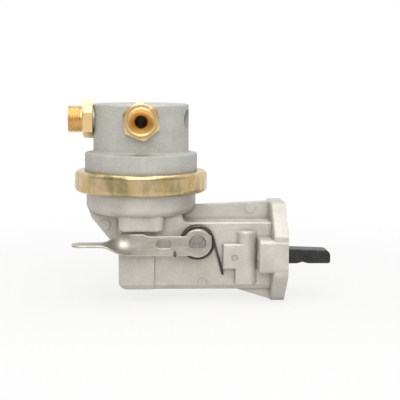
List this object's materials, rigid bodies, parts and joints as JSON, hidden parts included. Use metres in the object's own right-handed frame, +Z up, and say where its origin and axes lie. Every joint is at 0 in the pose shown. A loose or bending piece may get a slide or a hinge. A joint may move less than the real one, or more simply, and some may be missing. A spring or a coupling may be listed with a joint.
{
  "type": "mechanical diaphragm fuel feed pump",
  "caption": "Mechanical diaphragm fuel feed pump with two screwed unions, a crimped clamp ring, a cam rocker arm, a bolted side flange and a hand priming lever.",
  "frame": {"origin": "centre between the two bolt holes, in the flange's mating face", "axes": "+X out of the mating face into the engine, along the rocker arm; +Z up, along the diaphragm's axis towards the valve body; -Y towards the outlet union and the priming lever"},
  "size_m": [0.1733, 0.0908, 0.131],
  "materials": {
    "upper_casting": "satin",
    "lower_casting": "satin",
    "brass": "satin",
    "washer": "satin",
    "valve_plastic": "matte",
    "spring_steel": "satin",
    "dark_spring": "satin",
    "yellow_zinc": "satin",
    "zinc_steel": "satin",
    "lever_zinc": "satin",
    "plain_steel": "satin",
    "black_arm": "satin",
    "diaphragm_cloth": "matte",
    "seal_rubber": "matte"
  },
  "bodies": {
    "housing": {"upper_body": "upper_casting", "outlet_fitting": "brass", "inlet_fitting": "brass", "outlet_washer": "washer", "inlet_washer": "washer", "outlet_valve_seat": "brass", "inlet_valve_seat": "brass", "outlet_valve_spring": "spring_steel", "inlet_valve_spring": "spring_steel", "clamp_ring": "yellow_zinc", "diaphragm": "diaphragm_cloth", "rod_seal": "seal_rubber", "rod_seal_retainer": "zinc_steel", "diaphragm_spring": "spring_steel", "lower_body": "lower_casting", "rocker_pin": "plain_steel", "rocker_return_spring": "spring_steel", "primer_shaft_seal": "seal_rubber", "primer_return_spring": "dark_spring"},
    "rocker": {"rocker_arm": "black_arm"},
    "link": {"rocker_link": "zinc_steel"},
    "diaphragm_rod": {"pull_rod": "plain_steel", "diaphragm_plate_upper": "zinc_steel", "diaphragm_plate_lower": "zinc_steel", "rod_cross_pin": "plain_steel"},
    "primer": {"primer_lever": "lever_zinc", "primer_shaft": "plain_steel", "primer_shaft_clip": "spring_steel"},
    "inlet_disc": {"inlet_valve_disc": "valve_plastic"},
    "outlet_disc": {"outlet_valve_disc": "valve_plastic"}
  },
  "joints": [
    {"name": "rocker_swing", "type": "hinge", "parent": "housing", "child": "rocker", "pos_m": [-0.0335, 0, -0.0022], "axis": [0, -1, 0], "range_deg": [0, 6], "stiffness_Nm_per_rad": 0.31, "springref_deg": -17.19, "deforming": ["rocker_return_spring"]},
    {"name": "link_swing", "type": "hinge", "parent": "housing", "child": "link", "pos_m": [-0.0335, 0, -0.0022], "axis": [0, -1, 0], "range_deg": [0, 6]},
    {"name": "rod_slide", "type": "slide", "parent": "housing", "child": "diaphragm_rod", "axis": [0, 0, -1], "range_m": [0, 0.0064], "stiffness_N_per_m": 200, "springref_m": -0.005, "deforming": ["diaphragm_spring", "diaphragm"]},
    {"name": "primer_swing", "type": "hinge", "parent": "housing", "child": "primer", "pos_m": [-0.0579, 0, 0.008], "axis": [0, -1, 0], "range_deg": [0, 40], "stiffness_Nm_per_rad": 0.15, "springref_deg": -45.84, "deforming": ["primer_return_spring"]},
    {"name": "inlet_valve_lift", "type": "slide", "parent": "housing", "child": "inlet_disc", "axis": [0, 0, -1], "range_m": [0, 0.0015], "stiffness_N_per_m": 60, "springref_m": -0.0005, "deforming": ["inlet_valve_spring"]},
    {"name": "outlet_valve_lift", "type": "slide", "parent": "housing", "child": "outlet_disc", "axis": [0, 0, 1], "range_m": [0, 0.0015], "stiffness_N_per_m": 60, "springref_m": -0.0005, "deforming": ["outlet_valve_spring"]}
  ],
  "couplings": [
    {"joint": "link_swing", "follows": "rocker_swing", "ratio": 1},
    {"joint": "rod_slide", "follows": "rocker_swing", "m_per_rad": 0.0605}
  ]
}
